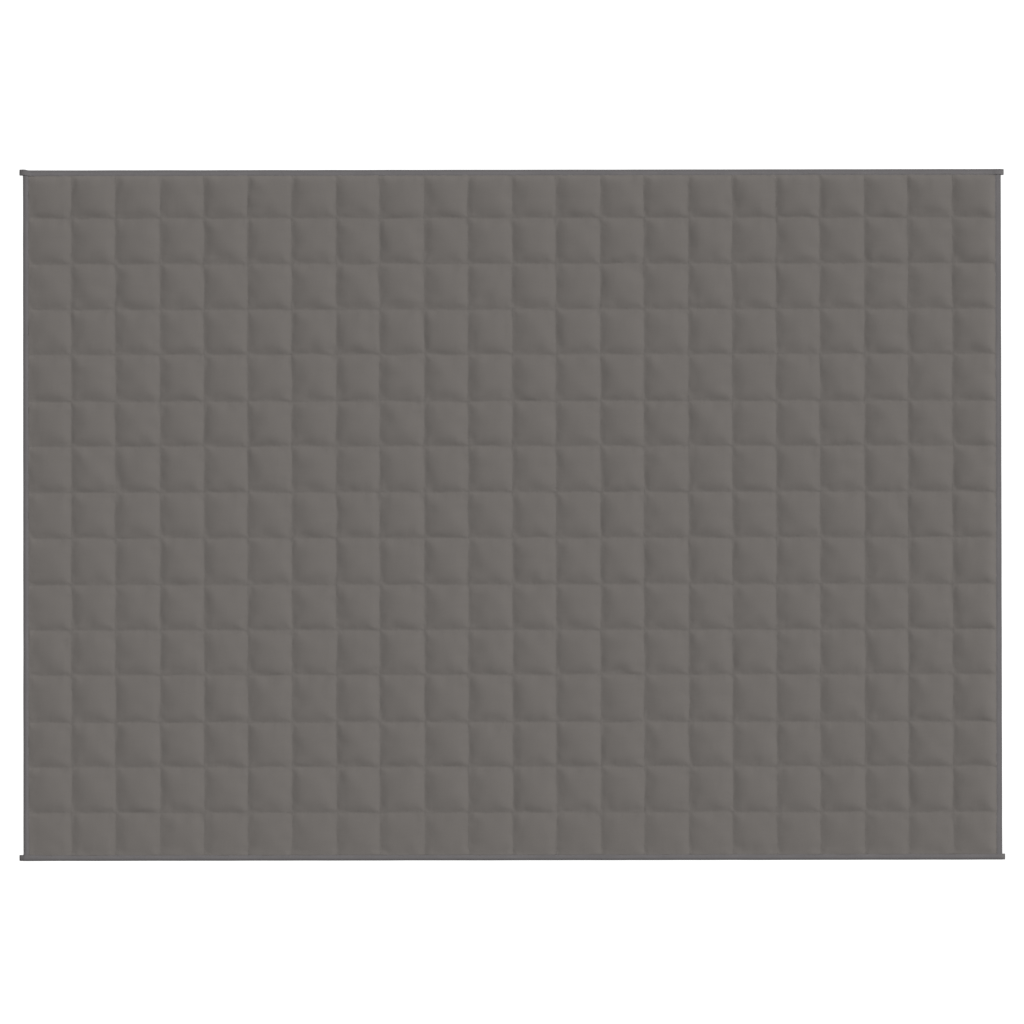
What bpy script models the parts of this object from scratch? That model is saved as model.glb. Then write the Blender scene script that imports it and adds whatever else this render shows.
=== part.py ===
"""Weighted blanket: a filled, quilted body with a folded tape binding on its four edges.

The blanket lies flat and face up on the surface z = 0. +X runs along its long side,
+Y along its short side and +Z up. The origin is the centre of its box, on that surface.
Lengths are in metres, but for the seam drift, which is in millimetres.
"""
import math
from collections import namedtuple

import bmesh
import bpy

MM = 0.001
GAP = 0.3 * MM

# Size over the side tapes and over the top and bottom tapes.
LENGTH = 2.200
WIDTH = 1.553

# Quilting: a grid of sewn seams, with wider pockets along the four edges.
COLUMNS = 22
ROWS = 15
EDGE_POCKET_X = 109.5 * MM
EDGE_POCKET_Y = 108.5 * MM
# How far each seam strays from its even place, in mm, counted from the -X side and the -Y side.
COLUMN_SEAM_DRIFT = (0.0, -0.4, 1.1, 0.9, -0.2, 0.0, 1.1, -0.9, 1.1, 0.2, 0.9,
                     -0.2, 0.7, -0.4, 0.7, 0.0, -0.2, -1.1, 0.4, -1.3, -0.2)
ROW_SEAM_DRIFT = (0.0, -0.2, -2.7, 0.9, -1.1, -1.8, 0.0, 0.2, 0.9, -0.9, 1.6, 0.2, -0.2, 0.0)

# Heights of the cloth at a seam, and at the flat edge that the tape grips.
SEAM_BOTTOM = 3.4 * MM
SEAM_TOP = 5.6 * MM
FLANGE_BOTTOM = 1.3 * MM
FLANGE_TOP = 3.3 * MM

# A pocket's upper side: rings from its seams inwards, then the step up to its crown.
PillowRing = namedtuple("PillowRing", "step_in step_up")
PILLOW_RINGS = (
    PillowRing(12.0 * MM, 3.7 * MM),
    PillowRing(15.0 * MM, 2.1 * MM),
)
CROWN_STEP = 0.6 * MM
FILL_SPREAD = 0.10
# A pocket's underside: the ring around the patch that lies on the surface.
UNDERSIDE_STEP_IN = 11.0 * MM

# Binding tape, folded over the cut edge, with one leg above the cloth and one below.
TAPE_WIDTH = 13.0 * MM
TAPE_LEG = 1.0 * MM
TAPE_FOLD_DEPTH = 1.6 * MM
TAPE_FOLD_STEPS = 6
TAPE_TOP = FLANGE_TOP + GAP + TAPE_LEG
FLANGE_WIDTH = TAPE_WIDTH + 1.3 * MM
FLANGE_INSET = TAPE_LEG + GAP
# The side tapes end between the legs of the top and bottom tapes, so they rise at each corner.
CORNER_RISE = TAPE_LEG + GAP
CORNER_TOP = TAPE_TOP + CORNER_RISE + GAP + TAPE_LEG
CORNER_SLOPE = 4.0 * MM
# The closed ends of the top and bottom tapes, pressed flat past the sides.
TAB_TOP = 3.4 * MM
TAB_TIP_TOP = 2.2 * MM
TAB_TIP = 1.2 * MM

# A tape's own left and right are those of a person who faces it from the middle of the blanket.
EndTape = namedtuple("EndTape", "name turn left_tab right_tab left_bulge right_bulge")
TOP_TAPE = EndTape("binding_top", 0.0, 8.0 * MM, 6.5 * MM, 2.0 * MM, 0.3 * MM)
BOTTOM_TAPE = EndTape("binding_bottom", math.pi, 6.5 * MM, 9.0 * MM, 0.0, 0.0)

# The tabs reach further on one side, so the blanket is moved to centre its box on the origin.
CENTRE_X = (max(TOP_TAPE.left_tab, BOTTOM_TAPE.right_tab) - max(TOP_TAPE.right_tab, BOTTOM_TAPE.left_tab)) / 2
CENTRE_Y = -max(TOP_TAPE.left_bulge, TOP_TAPE.right_bulge) / 2

Finish = namedtuple("Finish", "name colour roughness metallic")
QUILT_CLOTH = Finish("quilt_cloth", (0.156, 0.144, 0.136, 1.0), 0.9, 0.0)
BINDING_TAPE = Finish("binding_tape", (0.158, 0.151, 0.150, 1.0), 0.85, 0.0)

# One cross-section of a tape: its place along the edge, its lowest and highest points, and
# how far its fold stands out past the edge's usual line.
Station = namedtuple("Station", "place low high bulge")


def clear_scene():
    """Remove every object of the scene."""
    for obj in list(bpy.data.objects):
        bpy.data.objects.remove(obj, do_unlink=True)


def make_collection(name):
    """Add a collection to the scene."""
    collection = bpy.data.collections.new(name)
    bpy.context.scene.collection.children.link(collection)
    return collection


def make_material(finish):
    """Make the plain material of one kind of cloth."""
    material = bpy.data.materials.new(finish.name)
    material.use_nodes = True
    material.diffuse_color = finish.colour
    shader = material.node_tree.nodes["Principled BSDF"]
    shader.inputs["Base Color"].default_value = finish.colour
    shader.inputs["Roughness"].default_value = finish.roughness
    shader.inputs["Metallic"].default_value = finish.metallic
    return material


def make_object(bm, name, collection, parent, turn=0.0):
    """Make an object of an edited mesh and set it in the blanket's frame."""
    bmesh.ops.recalc_face_normals(bm, faces=bm.faces)
    mesh = bpy.data.meshes.new(name)
    bm.to_mesh(mesh)
    bm.free()
    obj = bpy.data.objects.new(name, mesh)
    collection.objects.link(obj)
    obj.parent = parent
    obj.rotation_euler.z = turn
    return obj


def seam_lines(half_side, edge_pocket, drift):
    """Places of the seams across one direction, from the negative side."""
    pitch = 2 * (half_side - edge_pocket) / (len(drift) - 1)
    return [edge_pocket - half_side + pitch * i + stray * MM for i, stray in enumerate(drift)]


def cloth_lines(half_side, seams):
    """Grid lines of the body: its cut edge, the flange's inner line, the seams, and back out."""
    edge = half_side - FLANGE_INSET
    flange = half_side - FLANGE_WIDTH
    return [-edge, -flange] + seams + [flange, edge]


def pocket_fill(column, row):
    """Fill of one pocket as a share of the usual one, since no two hold quite the same."""
    return 1 + FILL_SPREAD * math.sin(2.3 * column + 1.1 * row) * math.cos(0.7 * column - 1.9 * row)


def cloth_heights(column, row):
    """Heights of the cloth's underside and upper side where two grid lines of the body cross."""
    on_flange_x = column <= 1 or column >= COLUMNS + 1
    on_flange_y = row <= 1 or row >= ROWS + 1
    if not (on_flange_x or on_flange_y):
        return SEAM_BOTTOM, SEAM_TOP
    rise = CORNER_RISE if on_flange_x and on_flange_y else 0.0
    return FLANGE_BOTTOM + rise, FLANGE_TOP + rise


def pockets_among(faces):
    """Find the pockets among the faces of an even grid of unit cells, with column and row."""
    found = {}
    for face in faces:
        centre = face.calc_center_median()
        column = int(centre.x)
        row = int(centre.y)
        if 1 <= column <= COLUMNS and 1 <= row <= ROWS:
            found[face] = (column, row)
    return found


def make_body(column_seams, row_seams, collection, parent):
    """Quilted body: a slab on the seam grid, with a pillow raised in each of its pockets."""
    lines_x = cloth_lines(LENGTH / 2, column_seams)
    lines_y = cloth_lines(WIDTH / 2, row_seams)
    cells_x = len(lines_x) - 1
    cells_y = len(lines_y) - 1

    bm = bmesh.new()
    bmesh.ops.create_grid(bm, x_segments=cells_x, y_segments=cells_y, size=0.5)
    for vert in bm.verts:
        vert.co.x = round((vert.co.x + 0.5) * cells_x)
        vert.co.y = round((vert.co.y + 0.5) * cells_y)
    underside = list(bm.faces)
    made = bmesh.ops.extrude_face_region(bm, geom=underside)["geom"]
    upper_verts = {item for item in made if isinstance(item, bmesh.types.BMVert)}
    upper_side = [item for item in made if isinstance(item, bmesh.types.BMFace)]
    lower_pockets = pockets_among(underside)
    upper_pockets = pockets_among(upper_side)
    for vert in bm.verts:
        column = round(vert.co.x)
        row = round(vert.co.y)
        low, high = cloth_heights(column, row)
        vert.co = (lines_x[column], lines_y[row], high if vert in upper_verts else low)
    bmesh.ops.recalc_face_normals(bm, faces=bm.faces)

    for face, cell in upper_pockets.items():
        for ring in PILLOW_RINGS:
            step_up = ring.step_up * pocket_fill(*cell)
            bmesh.ops.inset_individual(bm, faces=[face], thickness=ring.step_in, depth=step_up)
    bmesh.ops.poke(bm, faces=list(upper_pockets), offset=CROWN_STEP)

    bmesh.ops.inset_individual(bm, faces=list(lower_pockets), thickness=UNDERSIDE_STEP_IN)
    for face in lower_pockets:
        for vert in face.verts:
            vert.co.z = 0.0
    return make_object(bm, "quilted_body", collection, parent)


def tape_outline(station):
    """Outline of a folded tape as (way in from the edge, height): flat legs and a round fold."""
    middle = (station.low + station.high) / 2
    half_height = (station.high - station.low) / 2
    outline = [(TAPE_WIDTH, station.low)]
    for step in range(TAPE_FOLD_STEPS + 1):
        angle = math.pi * step / TAPE_FOLD_STEPS
        way_in = TAPE_FOLD_DEPTH * (1 - math.sin(angle)) - station.bulge
        outline.append((way_in, middle - half_height * math.cos(angle)))
    outline.append((TAPE_WIDTH, station.high))
    return outline


def slot_outline(station):
    """Outline of the room between a tape's legs, run out past the tape's inner edge."""
    wall = TAPE_LEG - station.bulge
    mouth = 2 * TAPE_WIDTH
    return [(mouth, station.low), (wall, station.low), (wall, station.high), (mouth, station.high)]


def loft(rings):
    """Closed solid through a row of rings of points, with a face at each end."""
    bm = bmesh.new()
    loops = []
    for ring in rings:
        verts = [bm.verts.new(point) for point in ring]
        loops.append([bm.edges.new((verts[i - 1], verts[i])) for i in range(len(verts))])
    for first, second in zip(loops, loops[1:]):
        bmesh.ops.bridge_loops(bm, edges=first + second)
    for end in (loops[0], loops[-1]):
        bmesh.ops.edgeloop_fill(bm, edges=end)
    return bm


def make_tape(name, turn, to_point, bar, slot, collections, parent):
    """Tape along one edge: a bar through its stations, with the slot between its legs cut out.

    to_point turns a place along the edge, a way in from it and a height into a point.
    """
    parts, cutters = collections
    outer = loft([[to_point(at.place, *pair) for pair in tape_outline(at)] for at in bar])
    inner = loft([[to_point(at.place, *pair) for pair in slot_outline(at)] for at in slot])
    tape = make_object(outer, name, parts, parent, turn)
    cutter = make_object(inner, name + "_slot", cutters, parent, turn)
    cutter.hide_render = True
    cutter.display_type = "WIRE"
    cut = tape.modifiers.new("slot", "BOOLEAN")
    cut.operation = "DIFFERENCE"
    cut.solver = "EXACT"
    cut.object = cutter
    return tape


def side_point(place, way_in, height):
    """Point of a side tape, before its turn."""
    return (LENGTH / 2 - way_in, place, height)


def end_point(place, way_in, height):
    """Point of a top or bottom tape, before its turn."""
    return (place, WIDTH / 2 - way_in, height)


def make_side_tape(name, turn, collections, parent):
    """Tape along a side, which rises at its ends onto the lower legs of the tapes across it."""
    end = WIDTH / 2 - FLANGE_INSET
    flange = WIDTH / 2 - FLANGE_WIDTH
    seam = WIDTH / 2 - EDGE_POCKET_Y
    rises = [(-end, CORNER_RISE), (-flange, CORNER_RISE), (-seam, 0.0)]
    rises += [(-place, rise) for place, rise in reversed(rises)]
    bar = [Station(place, rise, TAPE_TOP + rise, 0.0) for place, rise in rises]
    slot = [Station(place, TAPE_LEG + rise, TAPE_TOP - TAPE_LEG + rise, 0.0) for place, rise in rises]
    slot.insert(0, slot[0]._replace(place=-WIDTH / 2))
    slot.append(slot[-1]._replace(place=WIDTH / 2))
    return make_tape(name, turn, side_point, bar, slot, collections, parent)


def end_tape_half(tab, bulge):
    """Stations of a top or bottom tape from its middle out to one tab: its bar and its slot."""
    side = LENGTH / 2
    seam = side - EDGE_POCKET_X
    crossing = side - TAPE_WIDTH - GAP
    slope_end = crossing - CORNER_SLOPE
    flange_rise = CORNER_RISE * (seam - slope_end) / (seam - (side - FLANGE_WIDTH))
    bar = [
        Station(seam, 0.0, TAPE_TOP, 0.0),
        Station(slope_end - TAPE_LEG, 0.0, TAPE_TOP + flange_rise, 0.0),
        Station(crossing - TAPE_LEG, 0.0, CORNER_TOP, bulge),
        Station(side + GAP + TAPE_LEG, 0.0, CORNER_TOP, bulge),
        Station(side + tab - TAB_TIP, 0.0, TAB_TOP, bulge),
        Station(side + tab, 0.0, TAB_TIP_TOP, bulge),
    ]
    slot = [
        Station(seam, TAPE_LEG, TAPE_TOP - TAPE_LEG, 0.0),
        Station(slope_end, TAPE_LEG, TAPE_TOP + flange_rise - TAPE_LEG, 0.0),
        Station(crossing, TAPE_LEG, CORNER_TOP - TAPE_LEG, bulge),
        Station(side + GAP, TAPE_LEG, CORNER_TOP - TAPE_LEG, bulge),
    ]
    return bar, slot


def make_end_tape(tape, collections, parent):
    """Tape along the top or bottom, over the ends of the side tapes, with a tab past each side."""
    left_bar, left_slot = end_tape_half(tape.left_tab, tape.left_bulge)
    right_bar, right_slot = end_tape_half(tape.right_tab, tape.right_bulge)
    bar = [at._replace(place=-at.place) for at in reversed(left_bar)] + right_bar
    slot = [at._replace(place=-at.place) for at in reversed(left_slot)] + right_slot
    return make_tape(tape.name, tape.turn, end_point, bar, slot, collections, parent)


def main():
    """Build the blanket: its quilted body and its four binding tapes."""
    clear_scene()
    parts = make_collection("weighted_blanket")
    cutters = make_collection("cutters")
    frame = bpy.data.objects.new("blanket_frame", None)
    frame.location = (CENTRE_X, CENTRE_Y, 0.0)
    parts.objects.link(frame)

    column_seams = seam_lines(LENGTH / 2, EDGE_POCKET_X, COLUMN_SEAM_DRIFT)
    row_seams = seam_lines(WIDTH / 2, EDGE_POCKET_Y, ROW_SEAM_DRIFT)
    body = make_body(column_seams, row_seams, parts, frame)
    tapes = [
        make_side_tape("binding_right", 0.0, (parts, cutters), frame),
        make_side_tape("binding_left", math.pi, (parts, cutters), frame),
        make_end_tape(TOP_TAPE, (parts, cutters), frame),
        make_end_tape(BOTTOM_TAPE, (parts, cutters), frame),
    ]
    body.data.materials.append(make_material(QUILT_CLOTH))
    tape_material = make_material(BINDING_TAPE)
    for tape in tapes:
        tape.data.materials.append(tape_material)


main()
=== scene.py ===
"""Looks of a weighted blanket: quilted cloth, folded binding tape, sewing, floor, light, camera.

Everything is in metres in the frame's own axes: +X along the blanket's long side, +Y along
its short side, +Z up out of its face. The blanket lies on the surface z = 0.
"""
import logging
import math
from dataclasses import dataclass, fields
from enum import Enum, IntEnum
from typing import Callable, Iterable, Sequence, Union

import bpy
import numpy as np
from mathutils import Euler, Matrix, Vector


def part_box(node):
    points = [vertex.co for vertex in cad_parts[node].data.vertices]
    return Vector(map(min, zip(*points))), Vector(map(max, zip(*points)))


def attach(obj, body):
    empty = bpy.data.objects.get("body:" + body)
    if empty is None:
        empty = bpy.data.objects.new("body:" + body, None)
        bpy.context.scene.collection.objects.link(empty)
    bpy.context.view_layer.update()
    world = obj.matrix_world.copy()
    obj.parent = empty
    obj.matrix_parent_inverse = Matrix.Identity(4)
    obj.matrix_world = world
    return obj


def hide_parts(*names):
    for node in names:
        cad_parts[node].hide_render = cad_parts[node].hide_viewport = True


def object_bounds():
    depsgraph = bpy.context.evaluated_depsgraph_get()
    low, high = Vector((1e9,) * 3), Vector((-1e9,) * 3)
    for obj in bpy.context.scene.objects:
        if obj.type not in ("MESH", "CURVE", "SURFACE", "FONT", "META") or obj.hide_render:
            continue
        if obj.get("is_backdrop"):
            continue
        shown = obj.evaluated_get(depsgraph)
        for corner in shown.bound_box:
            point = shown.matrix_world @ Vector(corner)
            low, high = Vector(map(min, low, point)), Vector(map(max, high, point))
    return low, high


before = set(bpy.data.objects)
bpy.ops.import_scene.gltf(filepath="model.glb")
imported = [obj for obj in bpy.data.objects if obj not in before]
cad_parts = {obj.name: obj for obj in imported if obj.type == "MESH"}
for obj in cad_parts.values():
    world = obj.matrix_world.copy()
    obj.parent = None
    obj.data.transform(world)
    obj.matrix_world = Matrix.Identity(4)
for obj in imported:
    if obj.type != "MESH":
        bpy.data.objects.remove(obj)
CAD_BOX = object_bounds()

Array = np.ndarray
Numbers = Union[Array, float]
Material = bpy.types.Material
Piece = bpy.types.Object
Socket = bpy.types.NodeSocket
Triple = tuple[float, float, float]
Value = Union["Signal", float]
SewnLine = Callable[[Array], tuple[Array, Array]]

MM = 0.001
BODY = "root"
LOG = logging.getLogger("weighted_blanket")


class Edge(Enum):
    """The blanket's four edges, each with its binding tape's node."""

    LEFT = "binding_left"
    RIGHT = "binding_right"
    TOP = "binding_top"
    BOTTOM = "binding_bottom"

    @property
    def runs_along_x(self) -> bool:
        """Whether the edge is one of the two long ones."""
        return self in (Edge.TOP, Edge.BOTTOM)

    @property
    def outward(self) -> float:
        """Sign of the axis that points out of the blanket across this edge."""
        return 1.0 if self in (Edge.RIGHT, Edge.TOP) else -1.0


class Side(Enum):
    """The two sides of the cloth."""

    UPPER = "upper"
    UNDER = "under"


class Seed(IntEnum):
    """First seed of each kind of unevenness; what there are several of counts on from it."""

    FILLING = 11
    SKEW_ACROSS = 21
    SKEW_DOWN = 22
    LUMPS = 31
    SMALL_LUMPS = 32
    RIDGE = 41
    PUCKERS_ACROSS = 100
    PUCKERS_DOWN = 200
    SEAMS_ACROSS = 500
    SEAMS_DOWN = 600
    TAPES = 700
    ROLLS_ACROSS = 1100
    ROLLS_DOWN = 1300


# ---- Tools shared by the pieces ----


def draws(seed: int) -> np.random.Generator:
    """Random numbers that are the same in every run."""
    return np.random.default_rng(int(seed))


@dataclass(frozen=True)
class Ripple:
    """Smooth unevenness about zero with a spread of about one: a sum of waves.

    length: the usual wave's length.
    rates: the slowest and the fastest wave, as shares of the usual one.
    """

    length: float
    seed: int
    waves: int = 28
    rates: tuple[float, float] = (0.5, 1.6)

    def along(self, place: Array) -> Array:
        """Unevenness along a line.

        Args:
            place: distances along the line.

        Returns:
            The value at each of them.
        """
        draw, rates = self._start()
        starts = draw.uniform(0.0, math.tau, self.waves)
        return self._sum(rate * place + start for rate, start in zip(rates, starts))

    def over(self, x: Array, y: Array) -> Array:
        """Unevenness over a surface.

        Args:
            x: first coordinate of each point.
            y: second coordinate of each point.

        Returns:
            The value at each point.
        """
        draw, rates = self._start()
        turns = draw.uniform(0.0, math.tau, self.waves)
        starts = draw.uniform(0.0, math.tau, self.waves)
        return self._sum(
            rate * (x * math.cos(turn) + y * math.sin(turn)) + start
            for rate, turn, start in zip(rates, turns, starts)
        )

    def _start(self) -> tuple[np.random.Generator, Array]:
        """Start the draws with the waves' rates, in radians a metre."""
        draw = draws(self.seed)
        return draw, draw.uniform(*self.rates, self.waves) * math.tau / self.length

    def _sum(self, angles: Iterable[Array]) -> Array:
        """Add up the waves, each given by its angle at every place."""
        return sum(np.sin(angle) for angle in angles) * math.sqrt(2.0 / self.waves)


def eased(place: Array, stations: Sequence[float], values: Sequence[float]) -> Array:
    """Read a profile between its stations, flat at each of them.

    Args:
        place: where to read it.
        stations: rising places of the profile's known values.
        values: the values there.

    Returns:
        The profile at each place.
    """
    count = np.interp(place, stations, np.arange(len(stations)))
    whole = np.floor(count)
    part = count - whole
    return np.interp(whole + part * part * (3.0 - 2.0 * part), np.arange(len(stations)), values)


def deselect_all() -> None:
    """Leave nothing selected, whatever was."""
    for obj in bpy.context.selected_objects:
        obj.select_set(False)


def make_active(obj: Piece) -> None:
    """Select one object alone and make it the active one.

    Args:
        obj: the object.
    """
    deselect_all()
    obj.select_set(True)
    bpy.context.view_layer.objects.active = obj


def named(obj: Piece, name: str) -> Piece:
    """Name an object and its mesh, and return the object."""
    obj.name = obj.data.name = name
    return obj


def points_of(obj: Piece) -> Array:
    """Read the points of a mesh.

    Args:
        obj: the mesh's object.

    Returns:
        Rows of x, y, z.
    """
    flat = np.empty(len(obj.data.vertices) * 3)
    obj.data.vertices.foreach_get("co", flat)
    return flat.reshape(-1, 3)


def set_points(obj: Piece, points: Array) -> None:
    """Move a mesh's points to new places, given as rows of x, y, z."""
    obj.data.vertices.foreach_set("co", points.ravel())
    obj.data.update()


def keep_values(obj: Piece, name: str, values: Array) -> None:
    """Store a number for each point of a mesh, under a name that a material can read."""
    attribute = obj.data.attributes.new(name, "FLOAT", "POINT")
    attribute.data.foreach_set("value", values.astype(np.float32))


def add_grid(name: str, columns: int, rows: int) -> tuple[Piece, Array, Array]:
    """Add a grid of faces to be shaped.

    Args:
        name: the new object's name.
        columns: faces along X.
        rows: faces along Y.

    Returns:
        The grid, and the numbers of each point's column and row.
    """
    deselect_all()
    bpy.ops.mesh.primitive_grid_add(x_subdivisions=columns, y_subdivisions=rows, size=1.0)
    grid = named(bpy.context.active_object, name)
    numbers = np.rint((points_of(grid)[:, :2] + 0.5) * (columns, rows)).astype(int)
    return grid, numbers[:, 0], numbers[:, 1]


def join(objects: list[Piece]) -> Piece:
    """Join objects into one.

    Args:
        objects: what to join.

    Returns:
        The first of them, which now holds all.
    """
    make_active(objects[0])
    for obj in objects:
        obj.select_set(True)
    bpy.ops.object.join()
    return bpy.context.active_object


def face_outwards(obj: Piece) -> None:
    """Turn all faces of a closed mesh outwards and shade them smooth.

    Args:
        obj: the mesh's object.
    """
    make_active(obj)
    bpy.ops.object.mode_set(mode="EDIT")
    bpy.ops.mesh.select_all(action="SELECT")
    bpy.ops.mesh.normals_make_consistent(inside=False)
    bpy.ops.object.mode_set(mode="OBJECT")
    bpy.ops.object.shade_smooth()


def report_piece(obj: Piece) -> None:
    """Log a finished piece with its count of triangles."""
    triangles = sum(len(face.vertices) - 2 for face in obj.data.polygons)
    LOG.info("%s: %d triangles", obj.name, triangles)


# ---- Finishes ----


class Signal:
    """A number that varies over a surface; sums and products of it add Math nodes."""

    def __init__(self, bench: "NodeBench", socket: Socket) -> None:
        """Wrap an output socket."""
        self.bench = bench
        self.socket = socket

    def _maths(self, operation: str, first: Value, second: Value) -> "Signal":
        """Add the Math node of one operation on two values."""
        outputs = self.bench.add("ShaderNodeMath", {"operation": operation}, {0: first, 1: second})
        return Signal(self.bench, outputs[0])

    def __add__(self, other: Value) -> "Signal":
        """Sum."""
        return self._maths("ADD", self, other)

    __radd__ = __add__

    def __sub__(self, other: Value) -> "Signal":
        """Difference."""
        return self._maths("SUBTRACT", self, other)

    def __rsub__(self, other: float) -> "Signal":
        """Difference from a number."""
        return self._maths("SUBTRACT", other, self)

    def __mul__(self, other: Value) -> "Signal":
        """Product."""
        return self._maths("MULTIPLY", self, other)

    __rmul__ = __mul__

    def wave(self, length: float) -> "Signal":
        """Sine of this place along an axis, with waves of the given length."""
        return self._maths("SINE", self * (math.tau / length), 0.0)

    def within(self, low: float, high: float) -> "Signal":
        """Share from 0 to 1 of the way from low to high, eased at both ends.

        Args:
            low: value where the share is 0.
            high: value where it is 1.

        Returns:
            The share.
        """
        settings = {"interpolation_type": "SMOOTHSTEP"}
        sockets = {"Value": self, "From Min": low, "From Max": high}
        return Signal(self.bench, self.bench.add("ShaderNodeMapRange", settings, sockets)["Result"])


class NodeBench:
    """One material and the nodes that are added to it."""

    def __init__(self, name: str) -> None:
        """Start a material with its shader.

        Args:
            name: the material's name.
        """
        self.material = bpy.data.materials.new(name)
        self.material.use_nodes = True
        self.tree = self.material.node_tree
        self.shader = self.tree.nodes["Principled BSDF"]

    def add(
        self, kind: str, settings: dict[str, object], sockets: dict[object, object]
    ) -> "bpy.types.NodeOutputs":
        """Add a node.

        Args:
            kind: the node's type.
            settings: its properties, set first.
            sockets: values or links of its inputs, by name or number.

        Returns:
            The new node's outputs.
        """
        node = self.tree.nodes.new(kind)
        for name, value in settings.items():
            setattr(node, name, value)
        for key, value in sockets.items():
            self.feed(node.inputs[key], value)
        return node.outputs

    def feed(self, target: Socket, value: object) -> None:
        """Give an input its value.

        Args:
            target: the input.
            value: a signal or an output to link it to, or else a fixed value.
        """
        if isinstance(value, Signal):
            value = value.socket
        if isinstance(value, Socket):
            self.tree.links.new(value, target)
        else:
            target.default_value = value

    def object_place(self) -> Socket:
        """Place on the piece."""
        return self.add("ShaderNodeTexCoord", {}, {})["Object"]

    def map_place(self, name: str) -> Socket:
        """Place on the piece's own map, along and across."""
        return self.add("ShaderNodeUVMap", {"uv_map": name}, {})["UV"]

    def axes(self, place: Socket) -> tuple[Signal, ...]:
        """The three coordinates of a place."""
        outputs = self.add("ShaderNodeSeparateXYZ", {}, {0: place})
        return tuple(Signal(self, output) for output in outputs)

    def noise(self, place: Socket, sizes: Triple, detail: float = 2.0) -> Signal:
        """Noise about zero, from about -0.5 to 0.5.

        Args:
            place: where it is read.
            sizes: the size of its clouds along each axis.
            detail: how much finer noise it has in it.

        Returns:
            The noise.
        """
        scale = tuple(1.0 / size for size in sizes)
        scaled = self.add("ShaderNodeVectorMath", {"operation": "MULTIPLY"}, {0: place, 1: scale})
        sockets = {"Vector": scaled["Vector"], "Scale": 1.0, "Detail": detail}
        return Signal(self, self.add("ShaderNodeTexNoise", {}, sockets)["Fac"]) - 0.5

    def attribute(self, name: str) -> Signal:
        """A number that the piece's points carry."""
        return Signal(self, self.add("ShaderNodeAttribute", {"attribute_name": name}, {})["Fac"])

    def blend(self, share: Signal, low: object, high: object) -> Socket:
        """Colour between two colours or links, by a share from 0 to 1."""
        return self.add("ShaderNodeMix", {"data_type": "RGBA"}, {0: share, 6: low, 7: high})[2]

    def bump(self, height: Signal, depth: float, under: Socket | None = None) -> Socket:
        """Surface relief.

        Args:
            height: relief as a share of depth.
            depth: its full height.
            under: a relief that this one lies on.

        Returns:
            The normal to give to a shader.
        """
        sockets = {"Height": height, "Distance": depth, "Strength": 1.0}
        if under is not None:
            sockets["Normal"] = under
        return self.add("ShaderNodeBump", {}, sockets)["Normal"]

    def finished(self, sockets: dict[str, object]) -> Material:
        """Give the shader its values and links.

        Args:
            sockets: what to give, by the shader's inputs.

        Returns:
            The material.
        """
        for name, value in sockets.items():
            self.feed(self.shader.inputs[name], value)
        return self.material


def shade(colour: Triple, factor: float) -> tuple[float, ...]:
    """A colour made lighter or darker, with full alpha."""
    return tuple(channel * factor for channel in colour) + (1.0,)


@dataclass(frozen=True)
class Finish:
    """What the finishes of cloth and thread share.

    contrast: difference of the lightest and the darkest tone, as a share of the colour.
    gloss, sheen, sheen_roughness: values of the shader's own sockets.
    plain_tone: how far the plain colour is from the darkest to the lightest tone; the other
    tones say how much each pattern adds to it.
    """

    colour: Triple
    contrast: float
    roughness: float
    gloss: float
    sheen: float
    sheen_roughness: float
    plain_tone: float

    def coloured(self, bench: NodeBench, tone: Signal) -> Socket:
        """Colour of a tone from the darkest, 0, to the lightest, 1."""
        half = self.contrast / 2
        return bench.blend(tone, shade(self.colour, 1.0 - half), shade(self.colour, 1.0 + half))

    def finished(self, bench: NodeBench, colour: Socket, rough: Signal, relief: Socket) -> Material:
        """Finish a material with this finish's gloss and sheen.

        Args:
            bench: the material's nodes.
            colour: its colour.
            rough: what varies its roughness.
            relief: its normal.

        Returns:
            The material.
        """
        return bench.finished({
            "Base Color": colour,
            "Roughness": self.roughness + rough,
            "Normal": relief,
            "Specular IOR Level": self.gloss,
            "Sheen Weight": self.sheen,
            "Sheen Roughness": self.sheen_roughness,
        })


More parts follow.
